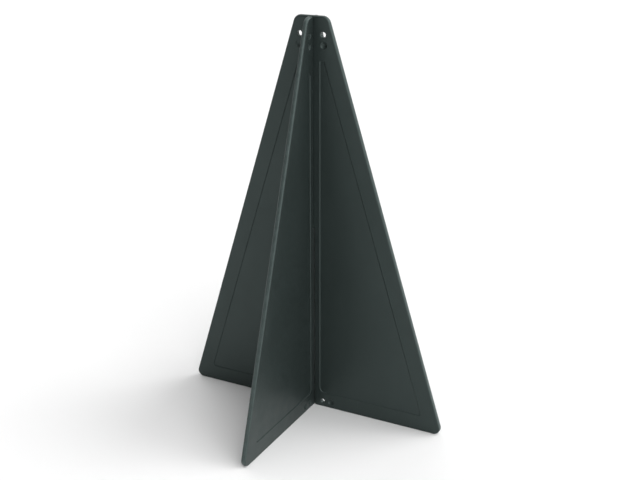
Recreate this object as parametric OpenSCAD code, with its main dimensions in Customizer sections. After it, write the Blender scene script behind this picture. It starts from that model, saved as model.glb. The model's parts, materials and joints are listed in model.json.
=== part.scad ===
// Collapsible day-signal cone for a small boat.
// Two flat moulded panels slot into each other at right angles and stand apex up.
// The upright axis is Z, the base edges lie in the plane z = 0, sizes are in millimetres.

/* [Panel] */
// Height of each panel
panel_height = 490; // [420:10:700]
// Width of each panel along its base, before the corners are rounded
base_width = 352; // [300:4:480]
// Width of the cross panel along its top, before the corners are rounded
cross_top_width = 42; // [38:1:48]
// Width of the base panel along its top, before the corners are rounded
base_top_width = 32; // [30:1:44]
// Thickness of the rim and spine
panel_thickness = 6; // [4:0.5:8]
// Radius of the two corners at the base
base_corner_radius = 8; // [4:1:16]
// Radius of the two corners at the top
top_corner_radius = 10; // [4:1:12]

/* [Recessed fields] */
// Depth of each recessed field below the rim
field_depth = 0.7; // [0.3:0.1:1.2]
// Width of the rim along the slanted edge
side_rim = 20; // [17:0.5:24]
// Width of the rim along the base
base_rim = 20; // [18:1:30]
// Half the width of the flat spine along the axis
spine_half_width = 11; // [9:0.5:12]
// Width of the blunt upper end of a field
field_top_width = 5; // [3:0.5:8]
// Radius of the field's corner beside the spine
field_heel_radius = 6; // [4:1:12]
// Radius of the field's corner at the outer toe
field_toe_radius = 3; // [2:0.5:6]
// Radius of the two corners at the field's upper end
field_tip_radius = 1.5; // [0.5:0.25:1.5]

/* [Interlocking slots] */
// Height at which the two slots meet
slot_meeting_height = 238; // [200:2:260]
// Space left on each side of the panel that a slot holds
slot_clearance = 0.8; // [0.3:0.1:1]
// Size of the lead-in chamfer at each slot's mouth
slot_lead_in = 1.5; // [0.5:0.25:3]
// How far the base panel's top lies below the cross panel's top
base_panel_drop = 1; // [0:0.5:4]

/* [Hoisting and tie holes] */
// Diameter of the hoisting holes near the top
hoist_hole_diameter = 6.5; // [5:0.5:8]
// Distance of the cross panel's hoisting holes from the axis
hoist_hole_offset = 15; // [14:0.5:16]
// How much nearer the axis the base panel's hoisting holes and upper dimples lie
base_panel_inset = 2.5; // [0:0.5:3]
// Distance of the hoisting holes below the top of their panel
hoist_hole_drop = 21; // [18:1:22]
// Diameter of the tie holes at the base
tie_hole_diameter = 6; // [4:0.5:7.5]
// Distance of the tie holes from the axis
tie_hole_offset = 15; // [14:0.5:17]
// Height of the tie holes above the base
tie_hole_height = 7.5; // [7:0.5:12]

/* [Moulded dimples] */
// Diameter of each round dimple at the surface
dimple_diameter = 8; // [5:0.5:9]
// Depth of each dimple
dimple_depth = 1.6; // [0.5:0.1:1.8]
// Distance of the cross panel's upper dimples from the axis
upper_dimple_offset = 16; // [14:0.5:17]
// Distance of the upper dimples below the top of their panel
upper_dimple_drop = 33; // [31:0.5:40]
// Distance of the lower dimples from the axis
lower_dimple_offset = 26.5; // [24.5:0.5:30]
// Height of the lower dimples above the base
lower_dimple_height = 8.5; // [7:0.5:12]

/* [Hidden] */
$fn = 96;
moulded_black = [0.17, 0.19, 0.19];
cut_margin = 1;

half_base = base_width / 2;
slot_width = panel_thickness + 2 * slot_clearance;

// How far a slanted edge leans inwards for each millimetre of height.
function lean(height, top_width) = (half_base - top_width / 2) / height;

// Width of the side rim measured level instead of square to the slanted edge.
function rim_across(slope) = side_rim * sqrt(1 + slope * slope);

// Outer side of a recessed field at height z.
function field_side(slope, z) = half_base - slope * z - rim_across(slope);

// Height at which a field is just field_top_width wide.
function field_top(slope) =
    (half_base - rim_across(slope) - spine_half_width - field_top_width) / slope;

function unit(v) = v / norm(v);

// Angle of the corner b between its neighbours a and c.
function corner_angle(a, b, c) = acos(unit(a - b) * unit(c - b));

// Where a round corner of radius r touches the two sides that meet at b.
function touch_points(a, b, c, r) =
    let (reach = r / tan(corner_angle(a, b, c) / 2))
    [b + reach * unit(a - b), b + reach * unit(c - b)];

// Centre of the round corner of radius r at b.
function corner_centre(a, b, c, r) =
    b + r / sin(corner_angle(a, b, c) / 2) * unit(unit(a - b) + unit(c - b));

// A convex outline whose corners are true arcs.
module rounded_outline(points, radii) {
    last = len(points) - 1;
    before = [for (i = [0 : last]) points[i == 0 ? last : i - 1]];
    after = [for (i = [0 : last]) points[i == last ? 0 : i + 1]];
    polygon([for (i = [0 : last]) each touch_points(before[i], points[i], after[i], radii[i])]);
    for (i = [0 : last])
        translate(corner_centre(before[i], points[i], after[i], radii[i]))
            circle(r = radii[i]);
}

// Outline of a panel before its slot is cut, drawn with the height along Y.
module panel_outline(height, top_width) {
    rounded_outline(
        [
            [half_base, 0],
            [top_width / 2, height],
            [-top_width / 2, height],
            [-half_base, 0]
        ],
        [base_corner_radius, top_corner_radius, top_corner_radius, base_corner_radius]
    );
}

// Outline of the recessed field on the positive side of the axis.
module field_outline(slope) {
    rounded_outline(
        [
            [spine_half_width, base_rim],
            [field_side(slope, base_rim), base_rim],
            [field_side(slope, field_top(slope)), field_top(slope)],
            [spine_half_width, field_top(slope)]
        ],
        [field_heel_radius, field_toe_radius, field_tip_radius, field_tip_radius]
    );
}

// A slot with a chamfered mouth, drawn from its closed end at the origin along +Y.
module slot_outline(length) {
    half = slot_width / 2;
    polygon([
        [-half, 0],
        [half, 0],
        [half, length - slot_lead_in],
        [half + slot_lead_in, length],
        [half + slot_lead_in, length + cut_margin],
        [-half - slot_lead_in, length + cut_margin],
        [-half - slot_lead_in, length],
        [-half, length - slot_lead_in]
    ]);
}

// Both recessed fields on the face that looks along the extrusion.
module face_fields(slope) {
    translate([0, 0, panel_thickness / 2 - field_depth])
        linear_extrude(field_depth + cut_margin)
            for (side = [0, 1])
                mirror([side, 0])
                    field_outline(slope);
}

// One through hole, at x across and y up the panel.
module panel_hole(x, y, diameter) {
    translate([x, y, -panel_thickness / 2 - cut_margin])
        cylinder(d = diameter, h = panel_thickness + 2 * cut_margin);
}

// A dimple pressed into the face by a ball, at x across and y up the panel.
module dimple(x, y) {
    ball_radius = (pow(dimple_diameter / 2, 2) + pow(dimple_depth, 2)) / (2 * dimple_depth);
    translate([x, y, panel_thickness / 2 - dimple_depth + ball_radius])
        sphere(r = ball_radius);
}

// Everything that both panels share, with the height along Y and the thickness along Z.
// inset draws the hoisting holes and upper dimples nearer the axis.
module panel_blank(height, top_width, inset) {
    difference() {
        translate([0, 0, -panel_thickness / 2])
            linear_extrude(panel_thickness)
                panel_outline(height, top_width);
        for (face = [0, 1])
            mirror([0, 0, face]) {
                face_fields(lean(height, top_width));
                for (side = [-1, 1]) {
                    dimple(side * (upper_dimple_offset - inset), height - upper_dimple_drop);
                    dimple(side * lower_dimple_offset, lower_dimple_height);
                }
            }
        for (side = [-1, 1]) {
            panel_hole(side * (hoist_hole_offset - inset), height - hoist_hole_drop, hoist_hole_diameter);
            panel_hole(side * tie_hole_offset, tie_hole_height, tie_hole_diameter);
        }
    }
}

// Cuts a slot of the given length, from its closed end at the meeting height.
module cut_slot(length, upwards) {
    translate([0, slot_meeting_height, -panel_thickness / 2 - cut_margin])
        linear_extrude(panel_thickness + 2 * cut_margin)
            mirror([0, upwards ? 0 : 1])
                slot_outline(length);
}

// Panel that stands still, whole at the bottom and slotted from the top, in the YZ plane.
module base_panel() {
    height = panel_height - base_panel_drop;
    color(moulded_black)
        rotate([90, 0, 90])
            difference() {
                panel_blank(height, base_top_width, base_panel_inset);
                cut_slot(height - slot_meeting_height, true);
            }
}

// Panel that lifts off, whole at the top and slotted from the bottom, in the XZ plane.
module cross_panel() {
    color(moulded_black)
        rotate([90, 0, 0])
            difference() {
                panel_blank(panel_height, cross_top_width, 0);
                cut_slot(slot_meeting_height, false);
            }
}

base_panel();
cross_panel();
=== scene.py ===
"""A collapsible black day-signal cone: two moulded panels that slot together crosswise.

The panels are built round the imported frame. Everything is in metres, with Z up.
Inside a panel, u runs across it, v runs up it and w runs through its thickness.
"""

import json
import math

import bpy
import numpy as np
from mathutils import Matrix, Vector
from mathutils.geometry import delaunay_2d_cdt


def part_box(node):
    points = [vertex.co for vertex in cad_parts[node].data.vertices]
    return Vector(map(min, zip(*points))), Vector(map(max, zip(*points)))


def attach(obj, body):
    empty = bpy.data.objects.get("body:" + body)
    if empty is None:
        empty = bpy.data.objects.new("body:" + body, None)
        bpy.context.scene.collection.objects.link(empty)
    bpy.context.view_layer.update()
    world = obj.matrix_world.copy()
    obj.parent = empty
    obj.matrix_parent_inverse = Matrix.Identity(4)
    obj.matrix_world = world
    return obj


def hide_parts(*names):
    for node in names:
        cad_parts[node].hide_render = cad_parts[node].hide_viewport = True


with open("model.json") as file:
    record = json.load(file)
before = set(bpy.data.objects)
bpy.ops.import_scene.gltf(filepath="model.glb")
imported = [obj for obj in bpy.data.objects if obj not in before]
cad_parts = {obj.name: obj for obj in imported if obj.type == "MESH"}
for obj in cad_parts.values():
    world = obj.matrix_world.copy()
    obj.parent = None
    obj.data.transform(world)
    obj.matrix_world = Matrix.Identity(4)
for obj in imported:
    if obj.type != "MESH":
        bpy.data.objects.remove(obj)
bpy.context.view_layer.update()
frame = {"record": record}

MM = 0.001

# ---------------------------------------------------------------- panel sizes
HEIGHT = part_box("cross_panel")[1][2]
BASE_PANEL_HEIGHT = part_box("base_panel")[1][2]
HALF_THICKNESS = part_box("cross_panel")[1][1]

HALF_BASE = 176 * MM
CROSS_HALF_TOP = 21 * MM
BASE_HALF_TOP = 16 * MM
BASE_CORNER = 8 * MM
TOP_CORNER = 10 * MM

SLOT_MEETING = 238 * MM
SLOT_CLEARANCE = 0.8 * MM
SLOT_LEAD_IN = 1.5 * MM
SLOT_CORNER = 1 * MM
HALF_SLOT = HALF_THICKNESS + SLOT_CLEARANCE

SIDE_RIM = 20 * MM
BASE_RIM = 20 * MM
SPINE = 11 * MM
FIELD_TOP_WIDTH = 5 * MM
FIELD_DEPTH = 0.7 * MM
FIELD_STEP_RUN = 1.3 * MM
# How much the step's upper half is lightened: light rubbing together with a painted highlight on its
# shoulder.
FIELD_STEP_WEAR_AND_SHEEN = 0.2
FIELD_HEEL = 6 * MM
FIELD_TOE = 3 * MM
FIELD_TIP = 1.5 * MM

DIMPLE_RADIUS = 4 * MM
DIMPLE_DEPTH = 1.6 * MM
DIMPLE_LIP = 0.3 * MM
DIMPLE_LIP_DROP = DIMPLE_LIP / 8
UPPER_DIMPLE_BEYOND_HOLE = 1 * MM
UPPER_DIMPLE_DROP = 33 * MM
LOWER_DIMPLE = (26.5 * MM, 8.5 * MM)

OUTER_FILLET = 2.5 * MM
FOOT_FILLET = 1.2 * MM
SLOT_FILLET = 0.8 * MM
MOUTH_FILLET = 0.8 * MM
HOLE_FILLET = 0.6 * MM
SEAM_PROUD = 0.06 * MM
SEAM_HALF_WIDTH = 0.2 * MM
SEAM_LEAN = math.radians(10)

# ---------------------------------------------------------------- colours and surface
DEEP_BLACK = (0.014, 0.0188, 0.018)
GREEN_BLACK = (0.0165, 0.0228, 0.0218)
GREY_BLACK = (0.02, 0.026, 0.025)
# The lighter edge colour is partly real rubbing and scuffs, and partly a painted highlight that widens the
# bright band along the edges.
RUBBED_AND_SHEEN = (0.065, 0.084, 0.081)
DUSTY = (0.05, 0.058, 0.054)
SPECULAR_TINT = (0.8, 1.0, 0.97)
PLASTIC_IOR = 1.5

# How far each kind of mark changes the colour, and how much roughness it adds.
# The edge mark is partly worn plastic and partly a painted highlight along the edges, the seam and the
# step shoulders.
RUB_AND_SHEEN_SHARE, RUB_MATT = 0.8, 0.08
SCUFF_SHARE, SCUFF_MATT = 0.2, 0.12
DUST_SHARE, DUST_MATT = 0.12, 0.4

# How many times finer a texture is along X, Y and Z.
FLOW_STRETCH = (26, 26, 3)
SCUFF_STRETCH = (420, 420, 34)

FLOOR_REACH = 80.0
FLOOR_LIGHT = (0.84, 0.84, 0.84)
FLOOR_DARK = (0.81, 0.81, 0.81)
FLOOR_ROUGHNESS = 0.7

# ---------------------------------------------------------------- light and camera
SURROUND = (1.0, 1.0, 1.0)
SURROUND_STRENGTH = 0.05

# Azimuth, elevation and spread in degrees, then strength.
SOFT_LIGHTS = {
    "top": (0, 90, 70, 1.1),
    "back": (230, 35, 60, 0.8),
    "key": (48, 27, 50, 1.9),
    "side": (100, 40, 50, 1.1),
    "rear": (135, 40, 50, 1.4),
}

# The camera's distance and target are in heights of the cone, its lens and sensor in millimetres.
CAMERA_AZIMUTH = 27.21
CAMERA_ELEVATION = 20.0
CAMERA_DISTANCE = 2.558
CAMERA_TARGET_X = 0.0199
CAMERA_TARGET_Z = 0.4554
CAMERA_LENS = 58.56
CAMERA_SENSOR = 36

# The colour sockets of a Mix node share their names with others, so they go by number.
MIX_FIRST = 6
MIX_SECOND = 7
MIX_RESULT = 2

# ---------------------------------------------------------------- mesh fineness
ARC_STEP = math.radians(6)
HOLE_SIDES = 48
FILLET_STEPS = 6
FIELD_STEPS = 10
DIMPLE_STEPS = 8
GRID = 9 * MM
GRID_MARGIN = 3 * MM
CDT_NEARNESS = 1e-9


def hole(name):
    """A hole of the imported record: its distance from the upright axis, its height and its radius."""
    mount = next(m for m in frame["record"]["mounts"] if m["name"] == name)
    x, y, height = mount["pos_m"]
    return math.hypot(x, y), height, mount["dims"]["r_mm"] * MM


# ---------------------------------------------------------------- outlines
# A loop is a closed list of (u, v, nu, nv, fillet). The material lies on the left of the way
# round, and (nu, nv) points away from it.


def arc_corner(before, corner, after, radius, fillet):
    """The points of one round corner, bulging or hollow, with their normals."""
    way_in = (Vector(corner) - Vector(before)).normalized()
    way_out = (Vector(after) - Vector(corner)).normalized()
    normal_in = Vector((way_in.y, -way_in.x))
    normal_out = Vector((way_out.y, -way_out.x))
    turn = way_in.angle_signed(way_out) * -1
    bulge = 1 if turn > 0 else -1
    reach = radius / math.cos(turn / 2)
    centre = Vector(corner) - bulge * reach * (normal_in + normal_out).normalized()
    steps = max(2, math.ceil(abs(turn) / ARC_STEP))
    start = math.atan2(normal_in.y, normal_in.x)
    points = []
    for step in range(steps + 1):
        angle = start + turn * step / steps
        normal = Vector((math.cos(angle), math.sin(angle)))
        place = centre + bulge * radius * normal
        points.append((place.x, place.y, normal.x, normal.y, fillet))
    return points


def with_straights_divided(loop):
    """Adds evenly spaced points along the long straight stretches of a loop."""
    divided = []
    for here, there in zip(loop, loop[1:] + loop[:1]):
        length = math.dist(here[:2], there[:2])
        parts = max(1, round(length / GRID))
        for part in range(parts):
            share = part / parts
            divided.append(tuple(a + (b - a) * share for a, b in zip(here, there)))
    return divided


def outline(corners):
    """A loop from its corners, anticlockwise. Each is (u, v, radius, fillet)."""
    loop = []
    for index, (u, v, radius, fillet) in enumerate(corners):
        before = corners[index - 1][:2]
        after = corners[(index + 1) % len(corners)][:2]
        loop += arc_corner(before, (u, v), after, radius, fillet)
    return with_straights_divided(loop)


def as_hollow(loop):
    """The same loop seen from the material outside it."""
    return [(u, v, -nu, -nv, fillet) for u, v, nu, nv, fillet in reversed(loop)]


def mirrored(loop):
    """The same loop on the other side of the upright axis."""
    return [(-u, v, -nu, nv, fillet) for u, v, nu, nv, fillet in reversed(loop)]


def circle(u, v, radius, fillet):
    """A round hollow in the material."""
    loop = []
    for side in range(HOLE_SIDES):
        angle = -math.tau * side / HOLE_SIDES
        nu, nv = -math.cos(angle), -math.sin(angle)
        loop.append((u - radius * nu, v - radius * nv, nu, nv, fillet))
    return loop


def lean(top, half_top):
    """How far a panel's slanted edge leans inwards for each metre of height."""
    return (HALF_BASE - half_top) / top


def slot_corners(mouth):
    """The corners of a slot from one side of its mouth to the other, in anticlockwise order."""
    up = 1 if mouth > SLOT_MEETING else -1
    right = [
        (HALF_SLOT + SLOT_LEAD_IN, mouth, SLOT_CORNER, MOUTH_FILLET),
        (HALF_SLOT, mouth - up * SLOT_LEAD_IN, SLOT_CORNER, SLOT_FILLET),
        (HALF_SLOT, SLOT_MEETING, SLOT_CORNER, SLOT_FILLET),
    ]
    left = [(-u, v, radius, fillet) for u, v, radius, fillet in reversed(right)]
    return right + left if up == 1 else list(reversed(right + left))


def panel_outline(top, half_top, slot_from_top):
    """The outer loop of a panel with its slot."""
    foot = (HALF_BASE, 0, BASE_CORNER, FOOT_FILLET)
    shoulder = (half_top, top, TOP_CORNER, OUTER_FILLET)
    right = [foot, shoulder]
    left = [(-u, v, radius, fillet) for u, v, radius, fillet in reversed(right)]
    if slot_from_top:
        return outline(right + slot_corners(top) + left)
    return outline(right + left + slot_corners(0))


def field_loop(slope):
    """The recessed field on the positive side, seen from the rim round it."""
    side_foot = HALF_BASE - SIDE_RIM * math.sqrt(1 + slope * slope)
    tip = (side_foot - SPINE - FIELD_TOP_WIDTH) / slope
    corners = [
        (SPINE, BASE_RIM, FIELD_HEEL, 0),
        (side_foot - slope * BASE_RIM, BASE_RIM, FIELD_TOE, 0),
        (SPINE + FIELD_TOP_WIDTH, tip, FIELD_TIP, 0),
        (SPINE, tip, FIELD_TIP, 0),
    ]
    return as_hollow(outline(corners))


# ---------------------------------------------------------------- panel mesh
def inside(points, loops):
    """Which points lie inside an odd number of the loops."""
    points = np.asarray(points)
    odd = np.zeros(len(points), dtype=bool)
    for loop in loops:
        a = np.asarray(loop)
        b = np.roll(a, -1, axis=0)
        for (au, av), (bu, bv) in zip(a, b):
            spans = (av > points[:, 1]) != (bv > points[:, 1])
            if spans.any():
                crossing = au + (points[:, 1] - av) * (bu - au) / (bv - av or 1)
                odd ^= spans & (points[:, 0] < crossing)
    return odd


def grid_points(loops):
    """Staggered points that fill the loops evenly and keep off their edges."""
    edge = np.concatenate([np.asarray(loop) for loop in loops])
    low, high = edge.min(axis=0), edge.max(axis=0)
    points = []
    row_height = GRID * math.sqrt(3) / 2
    for row in range(1, int((high[1] - low[1]) / row_height) + 1):
        v = low[1] + row * row_height
        reach = int((high[0] - low[0]) / GRID / 2) + 1
        points += [((column + row % 2 / 2) * GRID, v) for column in range(-reach, reach + 1)]
    points = np.array(points)
    points = points[inside(points, loops)]
    gaps = np.array([np.min(np.hypot(*(edge - p).T)) for p in points])
    return [tuple(p) for p in points[gaps > GRID_MARGIN]]


def triangles(loops):
    """Fills the loops with well-shaped triangles. Returns the added points and the triangles."""
    extra = grid_points(loops)
    places = [place for loop in loops for place in loop] + extra
    # The triangulation rounds its points to 32 bits, so the inside test has to see the same ones.
    places = [tuple(float(np.float32(c)) for c in place) for place in places]
    edges = []
    start = 0
    for loop in loops:
        count = len(loop)
        edges += [(start + i, start + (i + 1) % count) for i in range(count)]
        start += count
    _, _, faces, origin, _, _ = delaunay_2d_cdt([Vector(p) for p in places], edges, [], 0, CDT_NEARNESS)
    faces = [[origin[corner][0] for corner in face] for face in faces]
    middles = [np.mean([places[corner] for corner in face], axis=0) for face in faces]
    rounded = iter(places)
    keep = inside(middles, [[next(rounded) for _ in loop] for loop in loops])
    return extra, [face for face, kept in zip(faces, keep) if kept]


class PanelMesh:
    """Collects the points, normals, masks and faces of one panel."""

    def __init__(self):
        self.places = []
        self.normals = []
        self.wear_and_sheen = []
        self.dust = []
        self.faces = []

    def point(self, place, normal, wear_and_sheen=0.0, dust=0.0):
        """Adds one point and returns its number."""
        self.places.append(place)
        self.normals.append(normal)
        self.wear_and_sheen.append(wear_and_sheen)
        self.dust.append(dust)
        return len(self.places) - 1

    def ring(self, loop, inwards, w, turn, face, wear_and_sheen=0.0, dust=0.0):
        """One turn of points round a loop. The normal turns from the face's own, at 0, to level."""
        made = []
        for u, v, nu, nv, _ in loop:
            place = (u - nu * inwards, v - nv * inwards, w)
            normal = (nu * math.sin(turn), nv * math.sin(turn), face * math.cos(turn))
            made.append(self.point(place, normal, wear_and_sheen, dust))
        return made

    def fillet_ring(self, loop, turn, face, proud):
        """A ring part way round the fillet between a face, at 0, and the edge, at 90 degrees."""
        made = []
        for u, v, nu, nv, fillet in loop:
            inwards = fillet * (1 - math.sin(turn)) + proud
            w = face * (HALF_THICKNESS - fillet * (1 - math.cos(turn)))
            place = (u - nu * inwards, v - nv * inwards, w)
            normal = (nu * math.sin(turn), nv * math.sin(turn), face * math.cos(turn))
            # Lighter towards the wall: partly worn edge, partly a painted highlight that widens the edge's
            # bright band.
            made.append(self.point(place, normal, wear_and_sheen=math.sin(turn) ** 2))
        return made

    def strip(self, near, far, face=1):
        """Quads between two rings. near is the one closer to the face."""
        count = len(near)
        for i in range(count):
            j = (i + 1) % count
            quad = (near[i], far[i], far[j], near[j])
            self.faces.append(quad if face > 0 else quad[::-1])

    def edge(self, loop, proud):
        """The wall between both faces, with its fillets. Returns its outer rings.

        Where the seam stands proud, it is a low flat ridge half way through the thickness.
        """
        turns = [math.pi / 2 * step / FILLET_STEPS for step in range(FILLET_STEPS + 1)]
        rings = [self.fillet_ring(loop, turn, 1, proud) for turn in turns]
        if proud:
            for half_widths, inwards in ((2, proud), (1, 0), (-1, 0), (-2, proud)):
                seam_w = half_widths * SEAM_HALF_WIDTH
                seam_turn = math.pi / 2 - math.copysign(SEAM_LEAN, half_widths)
                # The seam ridge is lightened fully, as worn plastic and as a painted highlight.
                rings.append(self.ring(loop, inwards, seam_w, seam_turn, 1, wear_and_sheen=1.0))
        rings += [self.fillet_ring(loop, turn, -1, proud) for turn in reversed(turns)]
        for near, far in zip(rings, rings[1:]):
            self.strip(near, far)
        return rings[0], rings[-1]

    def field_step(self, loop, face):
        """The soft step from the rim down to a field. Returns its rings on the rim and the field.

        Dust lies in the whole step, and its upper half is lightly worn and carries a faint painted
        highlight.
        """
        rings = []
        for step in range(FIELD_STEPS + 1):
            way = step / FIELD_STEPS
            inwards = FIELD_STEP_RUN * (0.5 - way)
            drop = FIELD_DEPTH * (1 - math.cos(math.pi * way)) / 2
            slope = FIELD_DEPTH * math.pi / 2 * math.sin(math.pi * way) / FIELD_STEP_RUN
            w = face * (HALF_THICKNESS - drop)
            ripple = math.sin(math.pi * way)
            # The upper half of the step is lightened a little, as worn plastic and as a painted highlight
            # on the shoulder.
            wear_and_sheen = FIELD_STEP_WEAR_AND_SHEEN * ripple if way < 0.5 else 0.0
            rings.append(self.ring(loop, inwards, w, math.atan(slope), face, wear_and_sheen, ripple))
        for near, far in zip(rings, rings[1:]):
            self.strip(near, far, face)
        return rings[0], rings[-1]

    def dimple(self, u, v, face):
        """A round dimple, closed by a fan of triangles. Returns its ring on the face."""
        rings = [self.ring(circle(u, v, DIMPLE_RADIUS + DIMPLE_LIP, 0), 0, face * HALF_THICKNESS, 0, face)]
        for step in range(DIMPLE_STEPS):
            share = 1 - step / DIMPLE_STEPS
            w = face * (HALF_THICKNESS - DIMPLE_DEPTH * (1 - share * share) - DIMPLE_LIP_DROP)
            turn = math.atan(2 * DIMPLE_DEPTH * share / DIMPLE_RADIUS)
            loop = circle(u, v, DIMPLE_RADIUS * share, 0)
            rings.append(self.ring(loop, 0, w, turn, face, dust=1 - share))
        for near, far in zip(rings, rings[1:]):
            self.strip(near, far, face)
        bottom = face * (HALF_THICKNESS - DIMPLE_DEPTH - DIMPLE_LIP_DROP)
        middle = self.point((u, v, bottom), (0, 0, face), dust=1.0)
        last = rings[-1]
        for i, corner in enumerate(last):
            fan = (corner, middle, last[(i + 1) % len(last)])
            self.faces.append(fan if face > 0 else fan[::-1])
        return rings[0]

    def fill(self, rings, face):
        """Flat triangles between rings that lie in one plane."""
        loops = [[self.places[corner][:2] for corner in ring] for ring in rings]
        w = self.places[rings[0][0]][2]
        extra, faces = triangles(loops)
        corners = [corner for ring in rings for corner in ring]
        corners += [self.point((u, v, w), (0, 0, face)) for u, v in extra]
        for a, b, c in faces:
            flat = (corners[a], corners[b], corners[c])
            self.faces.append(flat if face > 0 else flat[::-1])

    def build(self, name, across, through):
        """Makes the object, with u along across and w along through."""
        turn = Matrix((across, (0, 0, 1), through)).transposed()
        mesh = bpy.data.meshes.new(name)
        mesh.from_pydata([turn @ Vector(place) for place in self.places], [], self.faces)
        for label, values in (("wear_and_sheen", self.wear_and_sheen), ("dust", self.dust)):
            mesh.attributes.new(label, "FLOAT", "POINT").data.foreach_set("value", values)
        mesh.shade_smooth()
        mesh.normals_split_custom_set_from_vertices([turn @ Vector(n) for n in self.normals])
        panel = bpy.data.objects.new(name, mesh)
        bpy.context.scene.collection.objects.link(panel)
        return panel


def panel_mesh(top, half_top, slot_from_top, holes):
    """One whole panel. holes are (u, v, radius) on the positive side."""
    mesh = PanelMesh()
    near_rings, far_rings = [], []
    walls = [(panel_outline(top, half_top, slot_from_top), SEAM_PROUD)]
    walls += [(circle(side * u, v, radius, HOLE_FILLET), 0) for u, v, radius in holes for side in (1, -1)]
    for loop, proud in walls:
        near, far = mesh.edge(loop, proud)
        near_rings.append(near)
        far_rings.append(far)
    field = field_loop(lean(top, half_top))
    upper_dimple = (holes[0][0] + UPPER_DIMPLE_BEYOND_HOLE, top - UPPER_DIMPLE_DROP)
    for face, rings in ((1, near_rings), (-1, far_rings)):
        for loop in (field, mirrored(field)):
            rim_ring, floor_ring = mesh.field_step(loop, face)
            rings.append(rim_ring)
            mesh.fill([floor_ring], face)
        for u, v in (upper_dimple, LOWER_DIMPLE):
            rings += [mesh.dimple(side * u, v, face) for side in (1, -1)]
        mesh.fill(rings, face)
    return mesh


# ---------------------------------------------------------------- material
def add(nodes, kind, label, **settings):
    """A shader node with its properties set."""
    node = nodes.new(kind)
    node.name = node.label = label
    for key, value in settings.items():
        setattr(node, key, value)
    return node


def noise(tree, place, label, scale, detail, roughness=0.5):
    """The value of a noise texture, from 0 to 1."""
    node = add(tree.nodes, "ShaderNodeTexNoise", label)
    node.inputs["Scale"].default_value = scale
    node.inputs["Detail"].default_value = detail
    node.inputs["Roughness"].default_value = roughness
    tree.links.new(place, node.inputs["Vector"])
    return node.outputs["Fac"]


def ranged(tree, value, label, low, high, to_low=0.0, to_high=1.0):
    """Maps a value from one range to another, smoothly and held at both ends."""
    node = add(tree.nodes, "ShaderNodeMapRange", label, interpolation_type="SMOOTHSTEP")
    for key, number in zip(("From Min", "From Max", "To Min", "To Max"), (low, high, to_low, to_high)):
        node.inputs[key].default_value = number
    tree.links.new(value, node.inputs["Value"])
    return node.outputs["Result"]


def sums(tree, operation, label, first, second):
    """One arithmetic step on two values or numbers."""
    node = add(tree.nodes, "ShaderNodeMath", label, operation=operation)
    for socket, value in zip(node.inputs, (first, second)):
        if isinstance(value, (int, float)):
            socket.default_value = value
        else:
            tree.links.new(value, socket)
    return node.outputs["Value"]


def blended(tree, label, share, first, second):
    """A colour between two others. Each is a colour socket or three numbers."""
    node = add(tree.nodes, "ShaderNodeMix", label, data_type="RGBA")
    tree.links.new(share, node.inputs["Factor"])
    for number, colour in ((MIX_FIRST, first), (MIX_SECOND, second)):
        socket = node.inputs[number]
        if isinstance(colour, tuple):
            socket.default_value = (*colour, 1)
        else:
            tree.links.new(colour, socket)
    return node.outputs[MIX_RESULT]


def stretched(tree, place, label, scale):
    """Texture places stretched along one axis or more."""
    node = add(tree.nodes, "ShaderNodeVectorMath", label, operation="MULTIPLY")
    tree.links.new(place, node.inputs[0])
    node.inputs[1].default_value = scale
    return node.outputs["Vector"]


def bumped(tree, label, height, distance, strength, normal=None):
    """A normal roughened by a height."""
    node = add(tree.nodes, "ShaderNodeBump", label)
    node.inputs["Distance"].default_value = distance
    node.inputs["Strength"].default_value = strength
    tree.links.new(height, node.inputs["Height"])
    if normal is not None:
        tree.links.new(normal, node.inputs["Normal"])
    return node.outputs["Normal"]


def mark_masks(tree, place, mottle):
    """Where the plastic is worn and carries a painted edge highlight, scuffed, and dusty, each from 0 to
    1.
    """
    # The edge mask lightens edges as worn plastic and as a painted highlight.
    wear_and_sheen = add(tree.nodes, "ShaderNodeAttribute", "wear_and_sheen", attribute_name="wear_and_sheen").outputs["Fac"]
    rub_and_sheen = noise(tree, place, "rub_and_sheen", scale=160, detail=4, roughness=0.65)
    rub_and_sheen_breaks = ranged(tree, rub_and_sheen, "rub_and_sheen_breaks", low=0.35, high=0.7, to_low=0.6)
    rubbed_and_sheen = sums(tree, "MULTIPLY", "rubbed_and_sheen", wear_and_sheen, rub_and_sheen_breaks)

    scuff_place = stretched(tree, place, "scuff_place", SCUFF_STRETCH)
    scuff = noise(tree, scuff_place, "scuff", scale=1, detail=2)
    scuff_lines = ranged(tree, scuff, "scuff_lines", low=0.68, high=0.8)
    patch = noise(tree, place, "patch", scale=22, detail=2)
    scuff_patches = ranged(tree, patch, "scuff_patches", low=0.52, high=0.7)
    scuffed = sums(tree, "MULTIPLY", "scuffed", scuff_lines, scuff_patches)

    dust = add(tree.nodes, "ShaderNodeAttribute", "dust", attribute_name="dust").outputs["Fac"]
    dust_breaks = ranged(tree, mottle, "dust_breaks", low=0.3, high=0.7)
    settled = sums(tree, "MULTIPLY", "settled", dust, dust_breaks)
    return rubbed_and_sheen, scuffed, settled


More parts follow.
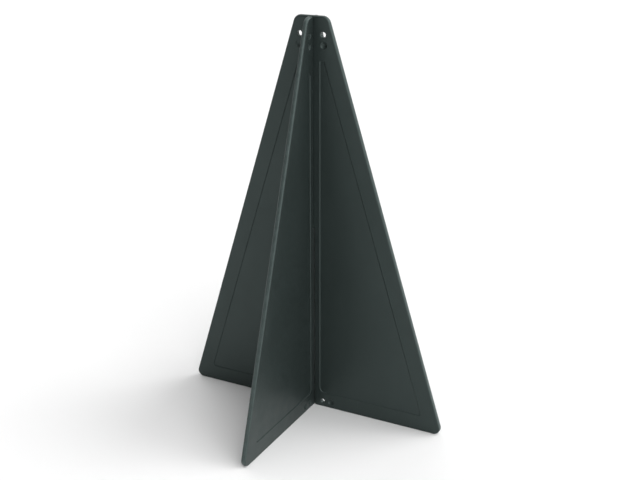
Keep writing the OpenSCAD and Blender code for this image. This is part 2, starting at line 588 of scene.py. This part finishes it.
def moulded_black():
    """Satin black moulded plastic: fine spark texture, faint flow, worn edges carrying a painted
    highlight, dust in corners.
    """
    material = bpy.data.materials.new("moulded_black")
    material.use_nodes = True
    tree = material.node_tree
    shader = tree.nodes["Principled BSDF"]
    shader.inputs["IOR"].default_value = PLASTIC_IOR
    shader.inputs["Specular Tint"].default_value = (*SPECULAR_TINT, 1)

    place = add(tree.nodes, "ShaderNodeTexCoord", "place").outputs["Object"]
    cloud = noise(tree, place, "cloud", scale=9, detail=3)
    mottle = noise(tree, place, "mottle", scale=70, detail=4, roughness=0.6)
    flow_place = stretched(tree, place, "flow_place", FLOW_STRETCH)
    flow = noise(tree, flow_place, "flow", scale=1, detail=4, roughness=0.6)
    grain = noise(tree, place, "grain", scale=2600, detail=2, roughness=0.6)

    tone = blended(tree, "cloud_tone", cloud, DEEP_BLACK, GREEN_BLACK)
    flow_share = ranged(tree, flow, "flow_range", low=0.35, high=0.75, to_high=0.35)
    tone = blended(tree, "flow_tone", flow_share, tone, GREY_BLACK)
    rough = ranged(tree, cloud, "cloud_rough", low=0.3, high=0.7, to_low=0.36, to_high=0.44)
    uneven = ranged(tree, mottle, "mottle_range", low=0.3, high=0.7, to_low=-0.03, to_high=0.03)
    rough = sums(tree, "ADD", "mottle_rough", rough, uneven)

    rubbed_and_sheen, scuffed, settled = mark_masks(tree, place, mottle)
    # The first mark lightens edges, partly as worn plastic and partly as a painted highlight.
    for label, mask, share, colour, matt in (
        ("rub_and_sheen", rubbed_and_sheen, RUB_AND_SHEEN_SHARE, RUBBED_AND_SHEEN, RUB_MATT),
        ("scuff", scuffed, SCUFF_SHARE, RUBBED_AND_SHEEN, SCUFF_MATT),
        ("dust", settled, DUST_SHARE, DUSTY, DUST_MATT),
    ):
        tint = sums(tree, "MULTIPLY", f"{label}_share", mask, share)
        tone = blended(tree, f"{label}_tone", tint, tone, colour)
        added = sums(tree, "MULTIPLY", f"{label}_matt", mask, matt)
        rough = sums(tree, "ADD", f"{label}_rough", rough, added)
    tree.links.new(tone, shader.inputs["Base Color"])
    tree.links.new(rough, shader.inputs["Roughness"])

    normal = bumped(tree, "sink", cloud, distance=0.6 * MM, strength=0.5)
    normal = bumped(tree, "flow_lines", flow, distance=0.05 * MM, strength=0.4, normal=normal)
    normal = bumped(tree, "spark_texture", grain, distance=0.02 * MM, strength=0.6, normal=normal)
    tree.links.new(normal, shader.inputs["Normal"])
    return material


# ---------------------------------------------------------------- stage, light and camera
def pale_floor():
    """A wide pale floor whose tone is very slightly uneven."""
    mesh = bpy.data.meshes.new("floor")
    corners = [(x * FLOOR_REACH, y * FLOOR_REACH, 0) for x, y in ((-1, -1), (1, -1), (1, 1), (-1, 1))]
    mesh.from_pydata(corners, [], [(0, 1, 2, 3)])
    floor = bpy.data.objects.new("floor", mesh)
    bpy.context.scene.collection.objects.link(floor)
    material = bpy.data.materials.new("pale_floor")
    material.use_nodes = True
    tree = material.node_tree
    place = add(tree.nodes, "ShaderNodeTexCoord", "place").outputs["Object"]
    patches = noise(tree, place, "soft_patches", scale=3, detail=3)
    tone = blended(tree, "tone", patches, FLOOR_LIGHT, FLOOR_DARK)
    shader = tree.nodes["Principled BSDF"]
    tree.links.new(tone, shader.inputs["Base Color"])
    shader.inputs["Roughness"].default_value = FLOOR_ROUGHNESS
    mesh.materials.append(material)


def direction(azimuth, elevation):
    """Unit vector towards a place seen from the object. Azimuth 0 is -Y and 90 is +X."""
    a, e = math.radians(azimuth), math.radians(elevation)
    return Vector((math.sin(a) * math.cos(e), -math.cos(a) * math.cos(e), math.sin(e)))


def soft_light(name, azimuth, elevation, spread, strength):
    """A wide, even light from far away, spread over an angle in degrees."""
    light = bpy.data.lights.new(name, "SUN")
    light.angle = math.radians(spread)
    light.energy = strength
    lamp = bpy.data.objects.new(name, light)
    lamp.rotation_euler = direction(azimuth, elevation).to_track_quat("Z", "Y").to_euler()
    bpy.context.scene.collection.objects.link(lamp)


def studio_light():
    """A faint even surround with soft lights from above, the front, the side and behind."""
    world = bpy.data.worlds.new("surround")
    world.use_nodes = True
    background = world.node_tree.nodes["Background"]
    background.inputs["Color"].default_value = (*SURROUND, 1)
    background.inputs["Strength"].default_value = SURROUND_STRENGTH
    bpy.context.scene.world = world
    for name, settings in SOFT_LIGHTS.items():
        soft_light(name, *settings)


def studio_camera():
    """The camera, placed from the height of the cone."""
    data = bpy.data.cameras.new("camera")
    data.sensor_width = CAMERA_SENSOR
    data.lens = CAMERA_LENS
    camera = bpy.data.objects.new("camera", data)
    towards = direction(CAMERA_AZIMUTH, CAMERA_ELEVATION)
    target = Vector((CAMERA_TARGET_X * HEIGHT, 0, CAMERA_TARGET_Z * HEIGHT))
    camera.location = target + towards * CAMERA_DISTANCE * HEIGHT
    camera.rotation_euler = towards.to_track_quat("Z", "Y").to_euler()
    bpy.context.scene.collection.objects.link(camera)
    bpy.context.scene.camera = camera
    bpy.context.scene.view_settings.view_transform = "Standard"


# ---------------------------------------------------------------- assembly
def assemble():
    """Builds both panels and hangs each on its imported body."""
    plastic = moulded_black()
    panels = (
        ("base", BASE_PANEL_HEIGHT, BASE_HALF_TOP, True, "front", (0, 1, 0), (1, 0, 0)),
        ("cross", HEIGHT, CROSS_HALF_TOP, False, "right", (1, 0, 0), (0, -1, 0)),
    )
    for body, top, half_top, slot_from_top, side, across, through in panels:
        holes = [hole(f"hoist_hole_{side}"), hole(f"tie_hole_{side}")]
        mesh = panel_mesh(top, half_top, slot_from_top, holes)
        panel = mesh.build(f"moulded_{body}_panel", across, through)
        panel.data.materials.append(plastic)
        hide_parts(f"{body}_panel")
        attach(panel, body)


studio_camera()
studio_light()
pale_floor()
assemble()
